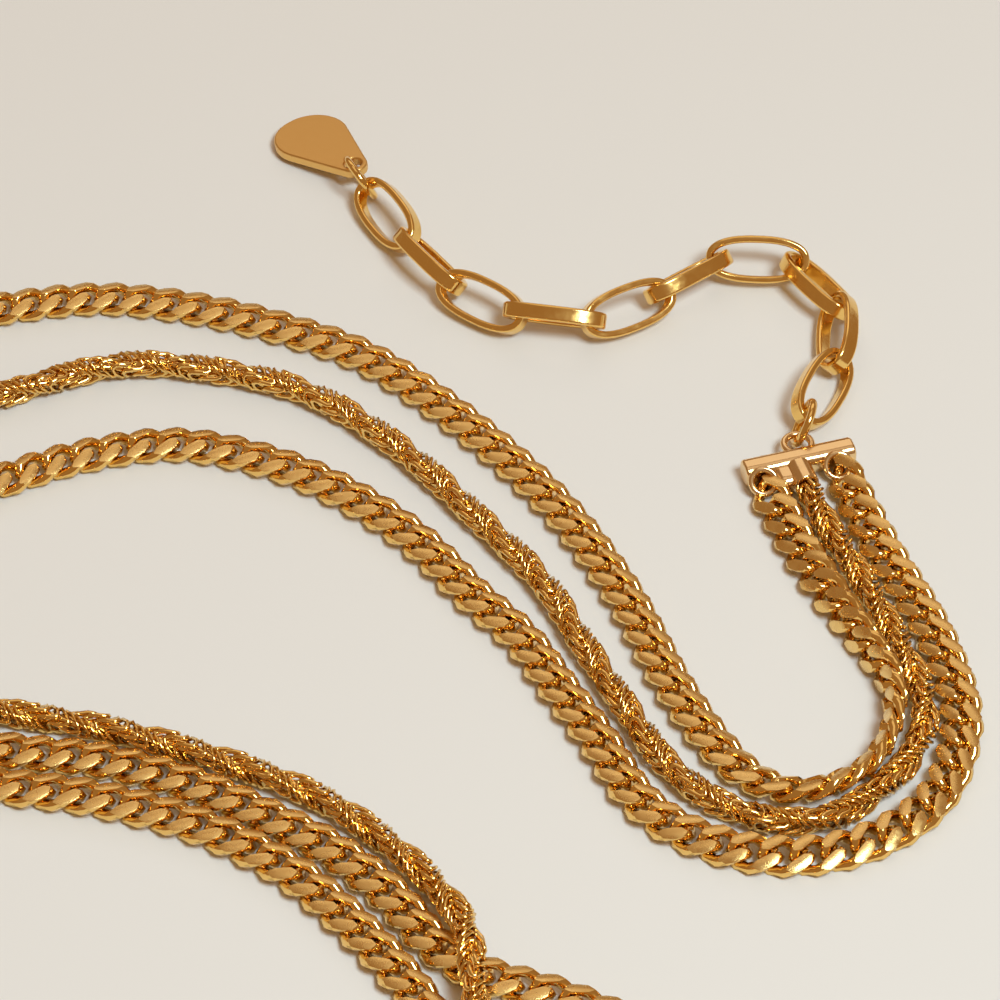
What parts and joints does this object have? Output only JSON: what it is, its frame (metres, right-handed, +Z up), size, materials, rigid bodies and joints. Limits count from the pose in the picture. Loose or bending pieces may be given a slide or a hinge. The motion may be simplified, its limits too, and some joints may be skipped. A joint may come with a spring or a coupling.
{
  "type": "multi strand necklace",
  "caption": "Gold multi strand necklace, unclasped: curb chains and a rope chain on end bars, with an extender and a tag.",
  "frame": {"origin": "middle of the bounding box on the surface that the necklace lies on", "axes": "+Z up from the surface, +X to the picture's right along the longest side, +Y away from the viewer"},
  "size_m": [0.1827, 0.1588, 0.0052],
  "materials": {
    "gold": "polished gold plating"
  },
  "bodies": {
    "root": {"end_bar_front": "gold", "bar_ring": "gold", "extender_link_1": "gold", "extender_link_2": "gold", "extender_link_3": "gold", "extender_link_4": "gold", "extender_link_5": "gold", "extender_link_6": "gold", "extender_link_7": "gold", "extender_link_8": "gold", "extender_link_9": "gold", "extender_link_10": "gold", "tag_ring": "gold", "tag": "gold", "curb_outer_near": "gold", "curb_outer_far": "gold", "curb_inner": "gold", "rope_strand": "gold", "end_bar_back": "gold", "clasp_ring": "gold", "clasp": "gold"}
  },
  "joints": []
}
